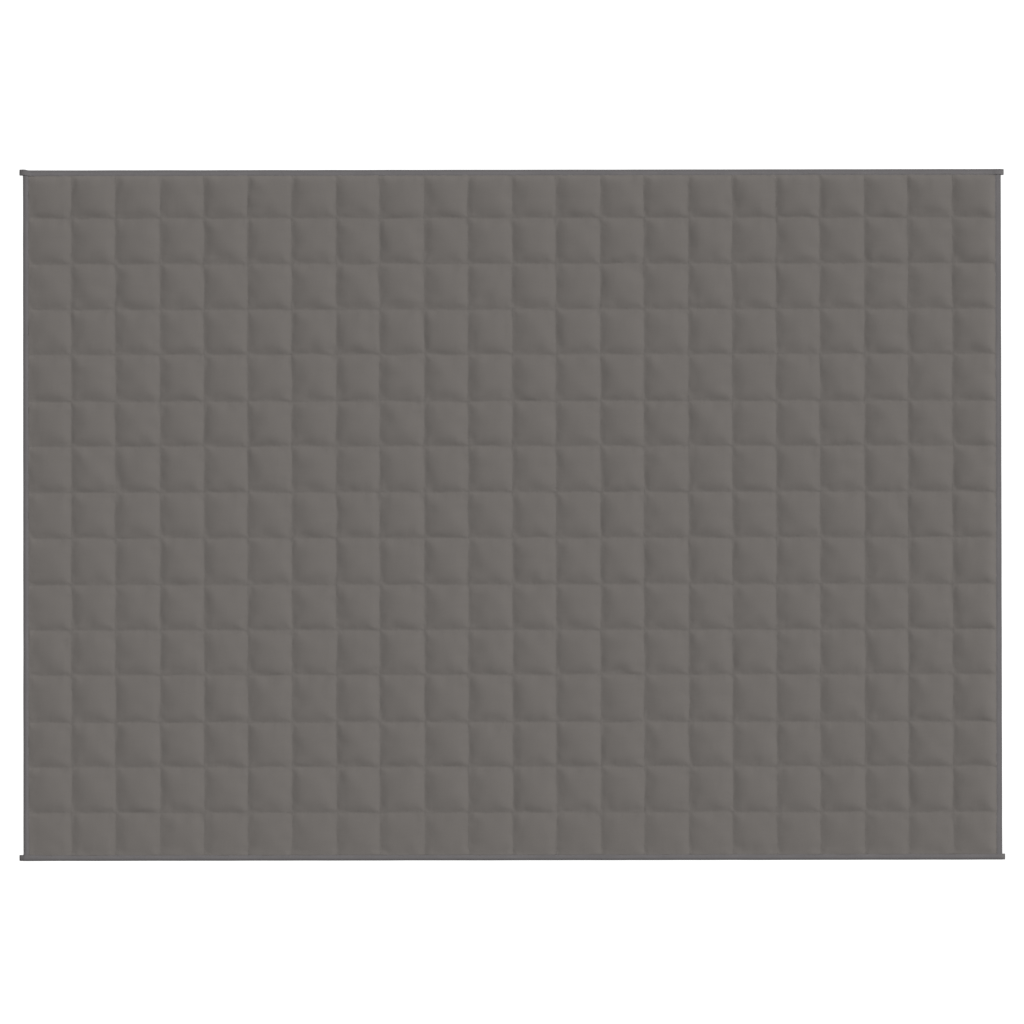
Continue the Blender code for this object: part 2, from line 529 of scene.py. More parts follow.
@dataclass(frozen=True)
class QuiltCloth(Finish):
    """Plain-woven cotton of the quilted body, with its sewn-in creases, painted shade in the seams'
    valleys and painted light along the tapes.
    """

    colour: Triple = (0.1504, 0.1384, 0.1293)
    contrast: float = 0.16
    roughness: float = 0.88
    gloss: float = 0.25
    sheen: float = 0.08
    sheen_roughness: float = 0.5
    plain_tone: float = 0.42
    weave_tone: float = 0.06
    yarn_tone: float = 0.55
    cloud_tone: float = 0.35
    seam_shade_tone: float = 0.10
    painted_light_tone: float = 0.65
    thread: float = 0.9 * MM
    yarn: tuple[float, float] = (1.1 * MM, 45 * MM)
    cloud: float = 90 * MM
    seam_shade_reach: tuple[float, float] = (0.2 * MM, 3.2 * MM)
    weave_depth: float = 0.05 * MM
    crease_size: float = 7.0 * MM
    crease_depth: float = 0.45 * MM
    crease_reach: tuple[float, float] = (1.0 * MM, 26.0 * MM)

    def make(self) -> Material:
        """Build the material.

        Returns:
            The material.
        """
        bench = NodeBench("quilt_cloth")
        place = bench.object_place()
        x, y, _ = bench.axes(place)
        weave = x.wave(self.thread) * y.wave(self.thread)
        warp = bench.noise(place, (*self.yarn, 1.0))
        yarns = warp + bench.noise(place, (*self.yarn[::-1], 1.0))
        cloud = bench.noise(place, (self.cloud,) * 3, 3.0)
        seam_way = bench.attribute("seam_way")
        tone = self.plain_tone + weave * self.weave_tone + yarns * self.yarn_tone
        # painted shade: the cloth is darker within a few millimetres of the seams, in their valleys
        tone = tone + cloud * self.cloud_tone + seam_way.within(*self.seam_shade_reach) * self.seam_shade_tone
        # painted light: the cloth is made lighter along the tapes
        tone = tone + bench.attribute("painted_edge_light") * self.painted_light_tone
        crease = bench.noise(place, (self.crease_size,) * 3, 1.5)
        crease = crease * (1.0 - seam_way.within(*self.crease_reach))
        relief = bench.bump(crease, self.crease_depth)
        relief = bench.bump(weave * 0.5 + yarns * 0.6, self.weave_depth, relief)
        return self.finished(bench, self.coloured(bench, tone), yarns * 0.08, relief)


@dataclass(frozen=True)
class BindingCloth(Finish):
    """Ribbed cotton tape, a little cooler in tone than the cloth, with painted shade on its fold
    where it turns down to the floor.
    """

    colour: Triple = (0.1485, 0.1405, 0.1435)
    contrast: float = 0.16
    roughness: float = 0.82
    gloss: float = 0.3
    sheen: float = 0.06
    sheen_roughness: float = 0.4
    plain_tone: float = 0.5
    rib_tone: float = 0.10
    slub_tone: float = 0.5
    cloud_tone: float = 2.0
    rib: float = 1.1 * MM
    rib_depth: float = 0.05 * MM
    slub: tuple[float, float] = (1.6 * MM, 20 * MM)
    cloud: tuple[float, float] = (60 * MM, 25 * MM)
    pucker: tuple[float, float] = (6 * MM, 12 * MM)
    pucker_depth: float = 0.35 * MM
    fold: tuple[float, float] = (3.5 * MM, 7.5 * MM)
    painted_fold_shades: tuple[float, float] = (0.88 * 0.95, 0.88)

    def make(self) -> Material:
        """Build the material.

        Returns:
            The material.
        """
        bench = NodeBench("binding_tape")
        place = bench.map_place("tape_map")
        along, across, _ = bench.axes(place)
        rib = along.wave(self.rib)
        cross = across.wave(self.rib * 0.6) * rib
        slub = bench.noise(place, (*self.slub, 1.0))
        cloud = bench.noise(place, (*self.cloud, 1.0), 3.0)
        tone = self.plain_tone + rib * self.rib_tone + slub * self.slub_tone
        tone = tone + cloud * self.cloud_tone
        # painted shade: the tape is darker near its outer fold, where it turns down to the floor
        off_painted_shade = (across * across).within(*(way ** 2 for way in self.fold))
        on_fold = bench.blend(tone, *(shade(self.colour, factor) for factor in self.painted_fold_shades))
        colour = bench.blend(off_painted_shade, on_fold, self.coloured(bench, tone))
        relief = bench.bump(bench.noise(place, (*self.pucker, 1.0), 1.0), self.pucker_depth)
        relief = bench.bump(rib * 0.5 + cross * 0.2, self.rib_depth, relief)
        return self.finished(bench, colour, slub * 0.08, relief)


@dataclass(frozen=True)
class SewingThread(Finish):
    """Twisted thread in the cloth's own grey."""

    colour: Triple = (0.150, 0.140, 0.133)
    contrast: float = 0.3
    roughness: float = 0.6
    gloss: float = 0.4
    sheen: float = 0.0
    sheen_roughness: float = 0.5
    plain_tone: float = 0.5
    twist_tone: float = 0.25
    cloud_tone: float = 0.6
    twist: float = 0.8 * MM
    twist_depth: float = 0.05 * MM
    cloud: float = 20 * MM

    def make(self) -> Material:
        """Build the material.

        Returns:
            The material.
        """
        bench = NodeBench("sewing_thread")
        place = bench.object_place()
        x, y, z = bench.axes(place)
        twist = (x + y + z).wave(self.twist)
        cloud = bench.noise(place, (self.cloud,) * 3)
        tone = self.plain_tone + twist * self.twist_tone + cloud * self.cloud_tone
        relief = bench.bump(twist, self.twist_depth)
        return self.finished(bench, self.coloured(bench, tone), cloud * 0.1, relief)


@dataclass(frozen=True)
class PaleFloor:
    """Plain white studio floor."""

    colour: Triple = (1.0, 1.0, 1.0)
    reflects: float = 0.20
    glows: float = 0.97

    def make(self) -> Material:
        """Build the material."""
        return NodeBench("pale_floor").finished({
            "Base Color": shade(self.colour, self.reflects),
            "Roughness": 1.0,
            "Specular IOR Level": 0.0,
            "Emission Color": shade(self.colour, 1.0),
            "Emission Strength": self.glows,
        })


# ---- Where the seams and edges are ----


@dataclass(frozen=True)
class ClothHeights:
    """Heights of the cloth at its seams and at the flat rim that the tape grips."""

    seam_under: float = 3.4 * MM
    seam_upper: float = 5.6 * MM
    rim_under: float = 1.3 * MM
    rim_upper: float = 3.3 * MM
    corner_rise: float = 1.0 * MM

    def base(self, side: Side, from_rim_x: Array, from_rim_y: Array) -> Array:
        """Height of the cloth before it is filled out.

        Args:
            side: which side of the cloth.
            from_rim_x: share of the seams' height along X: 0 under the tape, 1 from the
                first seam on.
            from_rim_y: the same along Y.

        Returns:
            The heights.
        """
        corner = self.corner_rise * (1.0 - from_rim_x) * (1.0 - from_rim_y)
        if side is Side.UPPER:
            rise = self.seam_upper - self.rim_upper
            return self.rim_upper + rise * from_rim_x * from_rim_y + corner
        inner = np.where(np.minimum(from_rim_x, from_rim_y) < 1.0, 0.0, 1.0)
        return self.rim_under + (self.seam_under - self.rim_under) * inner + corner


@dataclass(frozen=True)
class Rim:
    """How the filled cloth meets the tape of one edge.

    beside: height of the cloth beside the tape: 0 the flat rim's, 1 the seams'.
    fill: filling of the pockets along the edge, as a share of the others'.
    start: share of the filling's height that the cloth has right beside the tape.
    power: fullness of the pockets' profile on the tape's side.
    painted_edge_light: how much lighter the cloth is painted along the tape, as painted light.
    painted_light_reach: how far from the tape the painted light reaches.
    """

    beside: float
    fill: float
    start: float
    power: float
    painted_edge_light: float
    painted_light_reach: float


RIMS = {
    Edge.LEFT: Rim(beside=0.5, fill=0.95, start=0.13, power=1.6, painted_edge_light=1.2, painted_light_reach=32 * MM),
    Edge.RIGHT: Rim(beside=0.85, fill=1.1, start=0.0, power=1.9, painted_edge_light=1.2, painted_light_reach=40 * MM),
    Edge.TOP: Rim(beside=0.9, fill=1.0, start=0.0, power=2.9, painted_edge_light=1.4, painted_light_reach=26 * MM),
    Edge.BOTTOM: Rim(beside=0.85, fill=0.64, start=0.28, power=1.3, painted_edge_light=0.9, painted_light_reach=26 * MM),
}


@dataclass(frozen=True)
class Lines:
    """Grid lines of the cloth in one direction, several to a pocket.

    place: each line's place.
    pocket, share: its pocket's number, and where it is in that, 0 to 1.
    width: that pocket's width.
    seam: the number of the seam next to it, with 0 for the rim's line.
    from_rim: its share of the seams' height.
    start, power: the pocket's profile there, as Rim has them.
    """

    place: Array
    pocket: Array
    share: Array
    width: Array
    seam: Array
    from_rim: Array
    start: Array
    power: Array

    @property
    def last(self) -> int:
        """Number of the last line."""
        return len(self.place) - 1

    @property
    def way(self) -> Array:
        """Way of each line from the nearest seam."""
        return np.minimum(self.share, 1.0 - self.share) * self.width

    def at(self, number: Array) -> "Lines":
        """The lines of the given numbers, such as those that the points of a grid are on."""
        return Lines(*(getattr(self, field.name)[number] for field in fields(self)))


@dataclass(frozen=True)
class SeamPlan:
    """Seams and edges of the blanket, read from the frame's solids.

    edge_inset: how far the cloth's cut edge stays inside its solid.
    rim_lap: how far the flat rim's inner line lies under the tape.
    tape_step: way from that line to the next, where the cloth is at the rim's height.
    power_x, power_y: fullness of the pockets' profile along X and Y.
    wobble, wobble_length: how far the seams stray sideways, and in what waves.
    upper_steps, under_steps: places of the grid lines in a pocket.
    """

    column_seams: Array
    row_seams: Array
    heights: ClothHeights
    edge_inset: float = 0.4 * MM
    rim_lap: float = 0.5 * MM
    tape_step: float = 0.8 * MM
    power_x: float = 1.8
    power_y: float = 2.85
    wobble: float = 0.5 * MM
    wobble_length: float = 0.17
    upper_steps: tuple[float, ...] = (0.0, 0.02, 0.05, 0.09, 0.145, 0.215, 0.3, 0.4,
                                      0.5, 0.6, 0.7, 0.785, 0.855, 0.91, 0.95, 0.98)
    under_steps: tuple[float, ...] = (0.0, 0.115, 0.35, 0.65, 0.885)

    @classmethod
    def from_frame(cls) -> "SeamPlan":
        """Find the seams: only their crossings lie at the seams' upper height.

        Returns:
            The plan.
        """
        heights, tolerance, decimals = ClothHeights(), 0.02 * MM, 5
        points = points_of(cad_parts["quilted_body"])
        crossing = points[np.abs(points[:, 2] - heights.seam_upper) < tolerance]
        columns, rows = (np.unique(np.round(crossing[:, axis], decimals)) for axis in (0, 1))
        return cls(columns, rows, heights)

    def centre(self) -> tuple[float, float]:
        """Middle of the blanket's outline."""
        low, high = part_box("quilted_body")
        return (low.x + high.x) / 2.0, (low.y + high.y) / 2.0

    def seams(self, along_x: bool) -> Array:
        """Places of the seams that are spaced along X, or else along Y."""
        return self.column_seams if along_x else self.row_seams

    def edges(self, along_x: bool) -> tuple[Edge, Edge]:
        """The edges before the first and after the last seam of one direction."""
        return (Edge.LEFT, Edge.RIGHT) if along_x else (Edge.BOTTOM, Edge.TOP)

    def cut(self, along_x: bool) -> tuple[float, float]:
        """Lowest and highest place of the cloth's cut edges in one direction.

        Args:
            along_x: whether the direction is X.

        Returns:
            Both places.
        """
        low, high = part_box("quilted_body")
        axis = 0 if along_x else 1
        return low[axis] + self.edge_inset, high[axis] - self.edge_inset

    def rim(self, along_x: bool) -> tuple[float, float]:
        """Inner lines of the flat rim in one direction, just under the tapes' inner edges.

        Args:
            along_x: whether the direction is X.

        Returns:
            The places of the first and the last.
        """
        first, last = (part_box(edge.value) for edge in self.edges(along_x))
        axis = 0 if along_x else 1
        return first[1][axis] - self.rim_lap, last[0][axis] + self.rim_lap

    def lines(self, along_x: bool, side: Side) -> Lines:
        """Grid lines in one direction.

        Args:
            along_x: whether the lines are spaced along X.
            side: the side of the cloth that they shape.

        Returns:
            The lines from one cut edge to the other.
        """
        steps = np.array(self.upper_steps if side is Side.UPPER else self.under_steps)
        cut, rim = self.cut(along_x), self.rim(along_x)
        bounds = np.concatenate([[rim[0]], self.seams(along_x), [rim[1]]])
        widths = np.diff(bounds)
        count = len(widths)
        place = np.concatenate([
            [cut[0], rim[0] - self.tape_step],
            (bounds[:-1, None] + widths[:, None] * steps).ravel(),
            [rim[1], rim[1] + self.tape_step, cut[1]],
        ])
        pocket = np.concatenate([[0, 0], np.repeat(np.arange(count), len(steps)), [count - 1] * 3])
        share = np.concatenate([[0.0, 0.0], np.tile(steps, count), [1.0] * 3])
        first, last = (RIMS[edge] for edge in self.edges(along_x))
        at_rims = [(pocket == 0) & (share < 0.5), (pocket == count - 1) & (share > 0.5)]
        usual = self.power_x if along_x else self.power_y
        return Lines(
            place,
            pocket,
            share,
            width=widths[pocket],
            seam=pocket + (share > 0.5),
            from_rim=self.from_rim(along_x, place),
            start=np.select(at_rims, [first.start, last.start], 0.0),
            power=np.select(at_rims, [first.power, last.power], usual),
        )

    def from_rim(self, along_x: bool, place: Array) -> Array:
        """Share of the seams' height that the cloth has: most of it beside the tape, none under it.

        Args:
            along_x: whether the places are along X.
            place: the places.

        Returns:
            The share at each of them.
        """
        (low, high), seams, step = self.rim(along_x), self.seams(along_x), self.tape_step
        stations = (low - step, low, seams[0], seams[-1], high, high + step)
        first, last = (RIMS[edge].beside for edge in self.edges(along_x))
        return np.interp(place, stations, (0.0, first, 1.0, 1.0, last, 0.0))

    def sway(self, along_x: bool, seam: int, place: Array) -> Array:
        """How far one seam strays sideways along its length; the rim's lines don't.

        Args:
            along_x: whether it is one of the seams that are spaced along X.
            seam: its number.
            place: places along it.

        Returns:
            Its stray at each of them.
        """
        if seam in (0, len(self.seams(along_x)) + 1):
            return np.zeros_like(place)
        first = Seed.SEAMS_ACROSS if along_x else Seed.SEAMS_DOWN
        return self.wobble * Ripple(self.wobble_length, first + seam).along(place)


@dataclass(frozen=True)
class Direction:
    """One direction of a grid of cloth, X or Y.

    at: the grid line that each point is on, of those spaced this way.
    crossing: places of the lines that cross those.
    number: the number of each point's crossing line.
    """

    along_x: bool
    at: Lines
    crossing: Array
    number: Array


# ---- The quilted body ----


@dataclass(frozen=True)
class SeamFolds:
    """Small folds beside the seams: a close and a wide unevenness along each of them.

    height, length, reach: the folds' usual height, their length along the seam, and the way
    from it to their highest line.
    close, wide, offset, limits: how the two add up, and between which shares of the height.
    wide_length, wide_seed: the wide one's length in those of the close one, and its seeds.
    both_sides: whether a seam's two sides have their own folds, which also go on round its
    crossings, as far as calm.
    """

    height: float
    length: float
    reach: float
    close: float
    wide: float
    wide_length: float
    wide_seed: int
    seeds: tuple[Seed, Seed]
    limits: tuple[float, float]
    offset: float = 0.0
    both_sides: bool = False
    calm: float = 50 * MM

    def over(self, x: Direction, y: Direction) -> Array:
        """Height of the folds at each point of a grid, from its two directions."""
        return self.height * (self._beside(x, y.at.way) + self._beside(y, x.at.way))

    def _beside(self, ahead: Direction, other_way: Array) -> Array:
        """Folds of the seams that are spaced in one direction.

        Args:
            ahead: the direction.
            other_way: way of each point from the nearest seam of the other direction.

        Returns:
            Their share of the usual height at each point.
        """
        number = ahead.at.seam
        fade = other_way / self.reach
        if self.both_sides:
            number = number * 2 + (ahead.at.share > 0.5)
            fade = np.minimum(np.maximum(ahead.at.way, other_way), self.calm) / (2.0 * self.reach)
        seed = self.seeds[0 if ahead.along_x else 1]
        rows = []
        for row in range(number.max() + 1):
            close = Ripple(self.length, seed + row).along(ahead.crossing)
            wide = Ripple(self.wide_length * self.length, seed + self.wide_seed + row)
            both = self.close * close + self.wide * wide.along(ahead.crossing) + self.offset
            rows.append(np.clip(both, *self.limits))
        way = ahead.at.way / self.reach
        profile = way * np.exp(1.0 - way) * (1.0 - np.exp(-fade))
        return np.array(rows)[number, ahead.number] * profile


PUCKERS = SeamFolds(
    height=0.5 * MM, length=30 * MM, reach=12 * MM, close=0.9, wide=0.35, wide_length=5.0,
    wide_seed=300, seeds=(Seed.PUCKERS_ACROSS, Seed.PUCKERS_DOWN), limits=(-0.3, 2.2), offset=-0.2,
)
ROLLS = SeamFolds(
    height=0.29 * MM, length=24 * MM, reach=4.0 * MM, close=0.8, wide=0.8, wide_length=6.0,
    wide_seed=500, seeds=(Seed.ROLLS_ACROSS, Seed.ROLLS_DOWN), limits=(-1.2, 2.2), both_sides=True,
)


@dataclass
class QuiltedBody:
    """The filled body: two cloths sewn through in pockets, closed round the rim.

    crown, crown_limit: usual and greatest height of the filling above the seams.
    hip_share, hip_sharpness: how far a pocket rises like a hipped roof, and how sharp its hips.
    valley: how wide the seams' valleys are rounded.
    lean, lean_all_x, lean_all_y: how far each pocket, and all of them, lean to a side.
    skew, skew_length: how far the pockets are drawn out of shape, and in what waves.
    ridge_stations, ridge_height: the rise along the right tape, from the tape inwards.
    puckers, rolls: dents where the thread draws the cloth in, and small rolls close beside them.
    """

    plan: SeamPlan
    crown: float = 7.0 * MM
    crown_limit: float = 9.0 * MM
    hip_share: float = 0.7
    hip_sharpness: float = 10.0
    valley: float = 2.8 * MM
    lean: float = 0.22
    lean_all_x: float = 0.14
    lean_all_y: float = -0.04
    skew: float = 0.15
    skew_length: float = 70 * MM
    fill_spread: float = 0.11
    puckers: SeamFolds = PUCKERS
    rolls: SeamFolds = ROLLS
    ridge_stations: tuple[float, ...] = (0.0, 3.0 * MM, 9.5 * MM, 50 * MM)
    ridge_height: float = 0.95 * MM
    ridge_off_seam: float = 9 * MM
    ridge_spread: float = 0.35
    ridge_length: float = 120 * MM
    lump_height: float = 0.25 * MM
    lump_length: float = 60 * MM
    small_lumps: float = 0.6
    lies_from: float = 1.0 * MM
    sewn_within: float = 0.01 * MM
    painted_light_lap: float = 4 * MM
    relax_frames: int = 10
    relax_cap: float = 1.5 * MM

    def build(self) -> list[Piece]:
        """Model the body and tell the frame about it.

        Returns:
            The finished piece.
        """
        upper = self._sheet(Side.UPPER)
        self._relax(upper)
        under = self._sheet(Side.UNDER)
        body = self._close(upper, under)
        body.data.materials.clear()
        body.data.materials.append(QuiltCloth().make())
        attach(body, BODY)
        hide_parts("quilted_body")
        return [body]

    def _sheet(self, side: Side) -> Piece:
        """Shape one side of the cloth from a grid.

        Args:
            side: which side.

        Returns:
            The open sheet, with each point's way from the nearest seam and the painted light along
            the tapes.
        """
        across, down = (self.plan.lines(along_x, side) for along_x in (True, False))
        sheet, column, row = add_grid("quilted_cloth_" + side.value, across.last, down.last)
        x = Direction(True, across.at(column), down.place, row)
        y = Direction(False, down.at(row), across.place, column)
        seam_way = np.minimum(x.at.way, y.at.way)
        heights = self.plan.heights.base(side, x.at.from_rim, y.at.from_rim)
        if side is Side.UPPER:
            heights = heights + self._fill(x, y)
        else:
            heights = np.where(seam_way > self.lies_from, 0.0, heights)
        places = [way.at.place + self._sway(way) for way in (x, y)]
        set_points(sheet, np.column_stack([*places, heights]))
        # painted light along the tapes, handed to the cloth's material with each point
        edge_light_x, edge_light_y = self._painted_edge_light(across, True)[column], self._painted_edge_light(down, False)[row]
        keep_values(sheet, "seam_way", seam_way)
        keep_values(sheet, "painted_edge_light", np.maximum(edge_light_x, edge_light_y))
        sewn = np.nonzero(seam_way < self.sewn_within)[0]
        sheet.vertex_groups.new(name="sewn").add(sewn.tolist(), 1.0, "REPLACE")
        return sheet

    def _painted_edge_light(self, lines: Lines, along_x: bool) -> Array:
        """Painted light on the cloth along the two tapes of one direction.

        Args:
            lines: the grid lines that are spaced in the direction.
            along_x: whether it is X.

        Returns:
            The painted light at each line.
        """
        # painted light: strongest at the tape, fading inwards
        ways = (lines.place - lines.place[2], lines.place[-3] - lines.place)
        first, last = (
            RIMS[edge].painted_edge_light * eased(way, (-self.painted_light_lap, RIMS[edge].painted_light_reach), (1.0, 0.0)) ** 2
            for edge, way in zip(self.plan.edges(along_x), ways)
        )
        return np.maximum(first, last)

    def _sway(self, ahead: Direction) -> Array:
        """Stray of every point in one direction, passed from seam to seam across each pocket.

        Args:
            ahead: the direction.

        Returns:
            The stray of each point.
        """
        lines = range(len(self.plan.seams(ahead.along_x)) + 2)
        sways = np.array([self.plan.sway(ahead.along_x, seam, ahead.crossing) for seam in lines])
        pocket, share = ahead.at.pocket, ahead.at.share
        return sways[pocket, ahead.number] * (1 - share) + sways[pocket + 1, ahead.number] * share

    def _fill(self, x: Direction, y: Direction) -> Array:
        """Height that the filling gives the upper cloth above its seams.

        Args:
            x: the grid's direction along X.
            y: its direction along Y.

        Returns:
            The height at each point.
        """
        draw = draws(Seed.FILLING)
        shape = (y.at.pocket.max() + 1, x.at.pocket.max() + 1)
        lean_x = self.lean_all_x + draw.uniform(-self.lean, self.lean, shape)
        lean_y = self.lean_all_y + draw.uniform(-self.lean, self.lean, shape)
        fill = 1.0 + draw.uniform(-self.fill_spread, self.fill_spread, shape)
        fill[:, 0] *= RIMS[Edge.LEFT].fill
        fill[:, -1] *= RIMS[Edge.RIGHT].fill
        fill[0] *= RIMS[Edge.BOTTOM].fill
        fill[-1] *= RIMS[Edge.TOP].fill
        pocket = (y.at.pocket, x.at.pocket)

        def uneven(length: float, seed: Seed) -> Array:
            """Unevenness over the points of the grid."""
            return Ripple(length, seed).over(x.at.place, y.at.place)

        skew_x = self.skew * uneven(self.skew_length, Seed.SKEW_ACROSS)
        skew_y = self.skew * uneven(self.skew_length, Seed.SKEW_DOWN)
        rise_x = self._rise(x.at, lean_x[pocket] + skew_x)
        rise_y = self._rise(y.at, lean_y[pocket] + skew_y)
        sharp = self.hip_sharpness
        hip = rise_x * rise_y * (2.0 / (rise_x ** sharp + rise_y ** sharp)) ** (1.0 / sharp)
        pillow = self.hip_share * hip + (1.0 - self.hip_share) * rise_x * rise_y
        heights = self.crown * fill[pocket] * pillow
        heights -= self.puckers.over(x, y) - self.rolls.over(x, y)
        heights += self._ridge(x, y)
        lumps = uneven(self.lump_length, Seed.LUMPS)
        lumps = lumps + self.small_lumps * uneven(self.lump_length / 2, Seed.SMALL_LUMPS)
        heights += self.lump_height * lumps * np.clip(3.0 * rise_x * rise_y, 0.0, 1.0)
        inside = (x.at.from_rim > 0.0) & (y.at.from_rim > 0.0)
        return np.clip(heights, 0.0, self.crown_limit) * inside

    def _rise(self, line: Lines, lean: Array) -> Array:
        """Profile of a filled pocket in one direction, rounded off in the seam's valley.

        Args:
            line: the grid line that each point is on.
            lean: how far the profile leans there.

        Returns:
            Height from 0 at the seams, or its start at a tape, to 1 in the middle.
        """
        share = line.share + lean * (line.share * (1.0 - line.share))
        way = np.hypot(np.minimum(share, 1.0 - share) * line.width, self.valley) - self.valley
        middle = np.hypot(0.5 * line.width, self.valley) - self.valley
        left = np.clip(1.0 - way / middle, 0.0, 1.0) ** line.power
        return np.clip(1.0 - (1.0 - line.start) * left, 1e-6, 1.0)

    def _ridge(self, x: Direction, y: Direction) -> Array:
        """Rise of each pocket along the right tape, which is sewn on a little tighter.

        Args:
            x: the grid's direction along X.
            y: its direction along Y.

        Returns:
            The height at each point.
        """
        way = y.crossing[-2] - x.at.place
        height = eased(way, self.ridge_stations, (0.0, 0.0, self.ridge_height, 0.0))
        off_seam = 1.0 - np.exp(-((y.at.way / self.ridge_off_seam) ** 2))
        uneven = self.ridge_spread * Ripple(self.ridge_length, Seed.RIDGE).along(x.crossing)
        return height * off_seam * (1.0 + uneven)[x.number]

    def _relax(self, sheet: Piece) -> None:
        """Let the filled cloth settle: it is blown out between its pinned seams for a moment.

        Args:
            sheet: the upper cloth.
        """
        start = points_of(sheet)
        make_active(sheet)
        cloth = sheet.modifiers.new("relax", "CLOTH")
        settings = {
            "quality": 4,
            "mass": 0.3,
            "tension_stiffness": 15.0,
            "compression_stiffness": 15.0,
            "shear_stiffness": 5.0,
            "bending_stiffness": 8.0,
            "vertex_group_mass": "sewn",
            "use_pressure": True,
            "uniform_pressure_force": 3.0,
            "shrink_min": -0.004,
        }
        for name, value in settings.items():
            setattr(cloth.settings, name, value)
        cloth.settings.effector_weights.gravity = 0.0
        cloth.collision_settings.use_collision = False
        cloth.collision_settings.use_self_collision = False
        for number in range(1, self.relax_frames + 1):
            bpy.context.scene.frame_set(number)
        bpy.ops.object.modifier_apply(modifier="relax")
        bpy.context.scene.frame_set(1)
        moved = points_of(sheet) - start
        length = np.linalg.norm(moved, axis=1, keepdims=True)
        moved *= np.minimum(1.0, self.relax_cap / np.maximum(length, 1e-9))
        set_points(sheet, start + moved)
        LOG.info("cloth relaxed by %.2f mm at most", float(length.max()) / MM)

    def _close(self, upper: Piece, under: Piece) -> Piece:
        """Join both sides and bridge their edges.

        Args:
            upper: the upper cloth.
            under: the under cloth.

        Returns:
            One closed body.
        """
        body = named(join([upper, under]), "quilted_cloth")
        body.vertex_groups.clear()
        bpy.ops.object.mode_set(mode="EDIT")
        bpy.ops.mesh.select_all(action="DESELECT")
        bpy.ops.mesh.select_mode(type="EDGE")
        bpy.ops.mesh.select_non_manifold()
        bpy.ops.mesh.bridge_edge_loops()
        bpy.ops.object.mode_set(mode="OBJECT")
        face_outwards(body)
        return body


# ---- Sewing ----


@dataclass(frozen=True)
class Stitching:
    """Lines of sewing: each stitch a short thread, thick in the middle and sunk at its ends."""

    pitch: float = 4.0 * MM
    length: float = 3.5 * MM
    thickness: float = 0.55 * MM
    stray: float = 0.10 * MM
    stray_turn: float = 2.4

    def row(self, name: str, start: float, end: float, along_x: bool, line: SewnLine) -> Piece:
        """Sew one line.

        Args:
            name: the line's name.
            start: where it starts along its axis.
            end: where it ends.
            along_x: whether it runs along X rather than Y.
            line: gives the place beside the axis and the height at each place along it.

        Returns:
            All its stitches as one mesh.
        """
        deselect_all()
        bpy.ops.mesh.primitive_uv_sphere_add(segments=4, ring_count=2, radius=0.5)
        row = named(bpy.context.active_object, name)
        sizes = (self.length, self.thickness, self.thickness)
        set_points(row, points_of(row)[:, [2, 0, 1]] * sizes)
        array = row.modifiers.new("stitches", "ARRAY")
        array.count = round((end - start) / self.pitch)
        pitch = (end - start) / array.count
        array.use_relative_offset = False
        array.use_constant_offset = True
        array.constant_offset_displace = (pitch, 0.0, 0.0)
        bpy.ops.object.modifier_apply(modifier="stitches")
        points = points_of(row)
        along = start + pitch / 2.0 + points[:, 0]
        beside, height = line(along)
        stitch = np.floor((along - start) / pitch)
        beside = beside + points[:, 1] + self.stray * np.sin(stitch * self.stray_turn)
        places = (along, beside) if along_x else (beside, along)
        set_points(row, np.column_stack([*places, height + points[:, 2]]))
        return row

    def finish(self, name: str, rows: list[Piece], slot: str) -> Piece:
        """Join lines of sewing into one piece and tell the frame about it.

        Args:
            name: the piece's name.
            rows: its lines.
            slot: not used. the material slot it takes its finish from.

        Returns:
            The finished piece.
        """
        piece = named(join(rows), name)
        face_outwards(piece)
        piece.data.materials.append(SewingThread().make())
        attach(piece, BODY)
        return piece


@dataclass
class Quilting:
    """The straight seams that sew the body into pockets, on both sides of the cloth."""

    plan: SeamPlan
    sewing: Stitching = Stitching(thickness=0.65 * MM)
    proud: float = 0.08 * MM

    def build(self) -> list[Piece]:
        """Sew both sides, first across the blanket and then along it.

        Returns:
            A piece for each side and direction.
        """
        ways = (("crosswise", False), ("lengthwise", True))
        return [self._sew(side, way, along_x) for side in Side for way, along_x in ways]

    def _sew(self, side: Side, way: str, along_x: bool) -> Piece:
        """Sew all seams of one direction on one side as one piece.

        Args:
            side: side of the cloth.
            way: the direction's name.
            along_x: whether they run along X.

        Returns:
            The finished piece.
        """
        rim = self.plan.rim(along_x)
        rows = []
        for number, place in enumerate(self.plan.seams(not along_x), start=1):
            line = self._line(side, along_x, number, place)
            rows.append(self.sewing.row("seam", rim[0], rim[1], along_x, line))
        return self.sewing.finish(f"quilting_{side.value}_{way}", rows, "quilt_cloth")

    def _line(self, side: Side, along_x: bool, number: int, place: float) -> SewnLine:
        """The line of one seam on the cloth.

        Args:
            side: side of the cloth.
            along_x: whether the seam runs along X.
            number: the seam's number, from 1.
            place: its place across.

        Returns:
            The line.
        """
        lines = self.plan.lines(along_x, side)
        lift = self.proud if side is Side.UPPER else -self.proud
        beside = place + self.plan.sway(not along_x, number, lines.place)
        height = self.plan.heights.base(side, lines.from_rim, np.ones(1)) + lift

        def line(along: Array) -> tuple[Array, Array]:
            """Place beside and height of the seam at places along it."""
            return np.interp(along, lines.place, beside), np.interp(along, lines.place, height)

        return line


# ---- The binding ----


